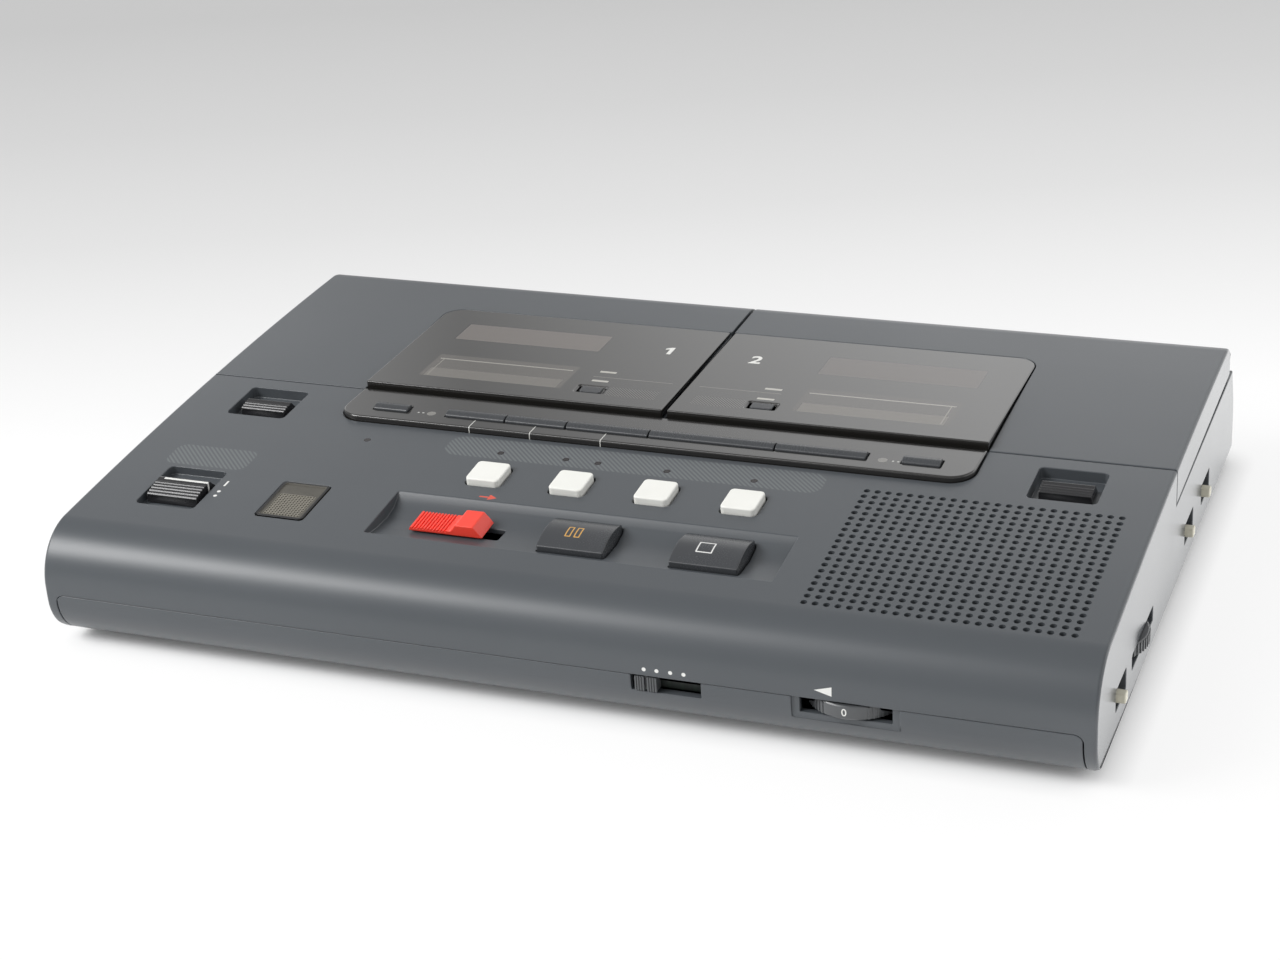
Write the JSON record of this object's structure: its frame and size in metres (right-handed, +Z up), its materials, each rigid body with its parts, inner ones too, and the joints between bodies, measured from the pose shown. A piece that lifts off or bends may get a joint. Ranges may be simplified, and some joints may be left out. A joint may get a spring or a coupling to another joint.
{
  "type": "double cassette deck",
  "caption": "Flat desk recorder with two hinged cassette lids, a key strip, mode buttons, sliders, a built-in speaker and thumb wheels in a sloping grey case.",
  "frame": {"origin": "on the table surface, below the middle of the case in width and depth", "axes": "+X to the right as the user sees it, +Y to the back where the lids hinge, +Z up"},
  "size_m": [0.2978, 0.2031, 0.0434],
  "materials": {
    "case_plastic": "fine-textured dark grey-blue case plastic, a little shiny",
    "tinted_panel": "smooth dark olive tinted panel over the lids",
    "key_strip_gloss": "polished black key strip",
    "key_plastic": "satin dark grey keys",
    "white_button": "satin white button caps",
    "record_red": "satin signal red",
    "slider_black": "satin black, ribbed",
    "cream_knob": "satin cream switch knobs",
    "inner_plastic": "dull black inner plastic",
    "bronze_mesh": "bronze-coloured perforated sheet in a dark frame",
    "counter_glass": "dark display glass in a pale frame",
    "spindle_white": "white moulded drive hubs",
    "pressed_steel": "zinc-plated pressed sheet",
    "turned_brass": "turned brass flywheel with a steel-bright shaft",
    "rubber": "black rubber",
    "board": "brown laminate board"
  },
  "bodies": {
    "lid_1": {"lid_shell_1": "case_plastic", "window_panel_1": "tinted_panel", "cassette_holder_1": "inner_plastic", "counter_display_1": "counter_glass"},
    "counter_reset_1": {"counter_button_1": "key_plastic"},
    "lid_2": {"lid_shell_2": "case_plastic", "window_panel_2": "tinted_panel", "cassette_holder_2": "inner_plastic", "counter_display_2": "counter_glass"},
    "counter_reset_2": {"counter_button_2": "key_plastic"},
    "case": {"upper_cabinet": "case_plastic", "lower_cabinet": "case_plastic", "foot_front_left": "rubber", "foot_front_right": "rubber", "foot_rear_left": "rubber", "foot_rear_right": "rubber", "speaker_grille": "case_plastic", "speaker": "inner_plastic", "mic_plate": "bronze_mesh", "deck_plate_1": "pressed_steel", "deck_plate_2": "pressed_steel", "key_bar": "key_strip_gloss", "jack_block": "inner_plastic", "power_inlet": "inner_plastic", "circuit_board": "board"},
    "eject_1": {"eject_slider_1": "slider_black"},
    "eject_2": {"eject_slider_2": "slider_black"},
    "power": {"power_slider": "slider_black"},
    "record": {"record_slider": "record_red"},
    "pause": {"pause_key": "key_plastic"},
    "stop": {"stop_key": "key_plastic"},
    "mode_1": {"mode_button_1": "white_button"},
    "mode_2": {"mode_button_2": "white_button"},
    "mode_3": {"mode_button_3": "white_button"},
    "mode_4": {"mode_button_4": "white_button"},
    "transport_1": {"transport_key_1": "key_plastic"},
    "transport_2": {"transport_key_2": "key_plastic"},
    "transport_3": {"transport_key_3": "key_plastic"},
    "transport_4": {"transport_key_4": "key_plastic"},
    "transport_5": {"transport_key_5": "key_plastic"},
    "deck_1": {"deck_key_1": "key_plastic"},
    "deck_2": {"deck_key_2": "key_plastic"},
    "monitor": {"monitor_switch": "slider_black"},
    "volume": {"volume_wheel": "slider_black"},
    "side_volume": {"side_wheel": "slider_black"},
    "side_1": {"side_switch_1": "cream_knob"},
    "side_2": {"side_switch_2": "cream_knob"},
    "side_3": {"side_switch_3": "cream_knob"},
    "head_1": {"head_carriage_1": "pressed_steel"},
    "supply_1": {"supply_spindle_1": "spindle_white"},
    "takeup_1": {"takeup_spindle_1": "spindle_white"},
    "capstan_body_1": {"capstan_1": "turned_brass"},
    "roller_1": {"pinch_roller_1": "rubber"},
    "head_2": {"head_carriage_2": "pressed_steel"},
    "supply_2": {"supply_spindle_2": "spindle_white"},
    "takeup_2": {"takeup_spindle_2": "spindle_white"},
    "capstan_body_2": {"capstan_2": "turned_brass"},
    "roller_2": {"pinch_roller_2": "rubber"}
  },
  "joints": [
    {"name": "lid_1_hinge", "type": "hinge", "parent": "case", "child": "lid_1", "pos_m": [0, 0.08642, 0.03591], "axis": [-1, 0, 0], "range_deg": [0, 40]},
    {"name": "lid_2_hinge", "type": "hinge", "parent": "case", "child": "lid_2", "pos_m": [0, 0.08642, 0.03591], "axis": [-1, 0, 0], "range_deg": [0, 40]},
    {"name": "eject_1_slide", "type": "slide", "parent": "case", "child": "eject_1", "axis": [0, 0.9984, 0.0558], "range_m": [0, 0.0036], "stiffness_N_per_m": 150},
    {"name": "eject_2_slide", "type": "slide", "parent": "case", "child": "eject_2", "axis": [0, 0.9984, 0.0558], "range_m": [0, 0.0036], "stiffness_N_per_m": 150},
    {"name": "power_slide", "type": "slide", "parent": "case", "child": "power", "axis": [0, 0.9964, 0.0849], "range_m": [-0.0023, 0.003]},
    {"name": "record_slide", "type": "slide", "parent": "case", "child": "record", "axis": [1, 0, 0], "range_m": [0, 0.0035]},
    {"name": "pause_press", "type": "slide", "parent": "case", "child": "pause", "axis": [0, 0.0845, -0.9964], "range_m": [0, 0.0018], "stiffness_N_per_m": 300},
    {"name": "stop_press", "type": "slide", "parent": "case", "child": "stop", "axis": [0, 0.0845, -0.9964], "range_m": [0, 0.0018], "stiffness_N_per_m": 300},
    {"name": "mode_1_press", "type": "slide", "parent": "case", "child": "mode_1", "axis": [0, 0.0716, -0.9974], "range_m": [0, 0.0015], "stiffness_N_per_m": 200},
    {"name": "mode_2_press", "type": "slide", "parent": "case", "child": "mode_2", "axis": [0, 0.0716, -0.9974], "range_m": [0, 0.0015], "stiffness_N_per_m": 200},
    {"name": "mode_3_press", "type": "slide", "parent": "case", "child": "mode_3", "axis": [0, 0.0716, -0.9974], "range_m": [0, 0.0015], "stiffness_N_per_m": 200},
    {"name": "mode_4_press", "type": "slide", "parent": "case", "child": "mode_4", "axis": [0, 0.0716, -0.9974], "range_m": [0, 0.0015], "stiffness_N_per_m": 200},
    {"name": "transport_1_press", "type": "slide", "parent": "case", "child": "transport_1", "axis": [0, 0, -1], "range_m": [0, 0.0006], "stiffness_N_per_m": 200},
    {"name": "transport_2_press", "type": "slide", "parent": "case", "child": "transport_2", "axis": [0, 0, -1], "range_m": [0, 0.0006], "stiffness_N_per_m": 200},
    {"name": "transport_3_press", "type": "slide", "parent": "case", "child": "transport_3", "axis": [0, 0, -1], "range_m": [0, 0.0006], "stiffness_N_per_m": 200},
    {"name": "transport_4_press", "type": "slide", "parent": "case", "child": "transport_4", "axis": [0, 0, -1], "range_m": [0, 0.0006], "stiffness_N_per_m": 200},
    {"name": "transport_5_press", "type": "slide", "parent": "case", "child": "transport_5", "axis": [0, 0, -1], "range_m": [0, 0.0006], "stiffness_N_per_m": 200},
    {"name": "deck_1_press", "type": "slide", "parent": "case", "child": "deck_1", "axis": [0, 0, -1], "range_m": [0, 0.0006], "stiffness_N_per_m": 200},
    {"name": "deck_2_press", "type": "slide", "parent": "case", "child": "deck_2", "axis": [0, 0, -1], "range_m": [0, 0.0006], "stiffness_N_per_m": 200},
    {"name": "counter_1_press", "type": "slide", "parent": "lid_1", "child": "counter_reset_1", "axis": [0, 0.0418, -0.9991], "range_m": [0, 0.0008], "stiffness_N_per_m": 120},
    {"name": "counter_2_press", "type": "slide", "parent": "lid_2", "child": "counter_reset_2", "axis": [0, 0.0418, -0.9991], "range_m": [0, 0.0008], "stiffness_N_per_m": 120},
    {"name": "monitor_slide", "type": "slide", "parent": "case", "child": "monitor", "axis": [1, 0, 0], "range_m": [0, 0.0108]},
    {"name": "volume_turn", "type": "hinge", "parent": "case", "child": "volume", "pos_m": [0.0845, -0.0891, 0.01467], "axis": [0, 0, 1], "range_deg": [-135, 135]},
    {"name": "side_wheel_turn", "type": "hinge", "parent": "case", "child": "side_volume", "pos_m": [0.1353, -0.0446, 0.0142], "axis": [0, 0, 1], "range_deg": [-135, 135]},
    {"name": "side_1_slide", "type": "slide", "parent": "case", "child": "side_1", "axis": [0, 1, 0], "range_m": [0, 0.006]},
    {"name": "side_2_slide", "type": "slide", "parent": "case", "child": "side_2", "axis": [0, 1, 0], "range_m": [0, 0.006]},
    {"name": "side_3_slide", "type": "slide", "parent": "case", "child": "side_3", "axis": [0, 1, 0], "range_m": [0, 0.006]},
    {"name": "head_1_slide", "type": "slide", "parent": "case", "child": "head_1", "axis": [0, 1, 0], "range_m": [0, 0.0038]},
    {"name": "supply_1_spin", "type": "hinge", "parent": "case", "child": "supply_1", "pos_m": [-0.07995, 0.0456, 0.0235], "axis": [0, 0, 1], "continuous": true},
    {"name": "takeup_1_spin", "type": "hinge", "parent": "case", "child": "takeup_1", "pos_m": [-0.03745, 0.0456, 0.0235], "axis": [0, 0, 1], "continuous": true},
    {"name": "capstan_1_spin", "type": "hinge", "parent": "case", "child": "capstan_body_1", "pos_m": [-0.0447, 0.0156, 0.0235], "axis": [0, 0, 1], "continuous": true},
    {"name": "roller_1_spin", "type": "hinge", "parent": "head_1", "child": "roller_1", "pos_m": [-0.0447, 0.0075, 0.0235], "axis": [0, 0, 1], "continuous": true},
    {"name": "head_2_slide", "type": "slide", "parent": "case", "child": "head_2", "axis": [0, 1, 0], "range_m": [0, 0.0038]},
    {"name": "supply_2_spin", "type": "hinge", "parent": "case", "child": "supply_2", "pos_m": [0.03745, 0.0456, 0.0235], "axis": [0, 0, 1], "continuous": true},
    {"name": "takeup_2_spin", "type": "hinge", "parent": "case", "child": "takeup_2", "pos_m": [0.07995, 0.0456, 0.0235], "axis": [0, 0, 1], "continuous": true},
    {"name": "capstan_2_spin", "type": "hinge", "parent": "case", "child": "capstan_body_2", "pos_m": [0.0727, 0.0156, 0.0235], "axis": [0, 0, 1], "continuous": true},
    {"name": "roller_2_spin", "type": "hinge", "parent": "head_2", "child": "roller_2", "pos_m": [0.0727, 0.0075, 0.0235], "axis": [0, 0, 1], "continuous": true}
  ]
}
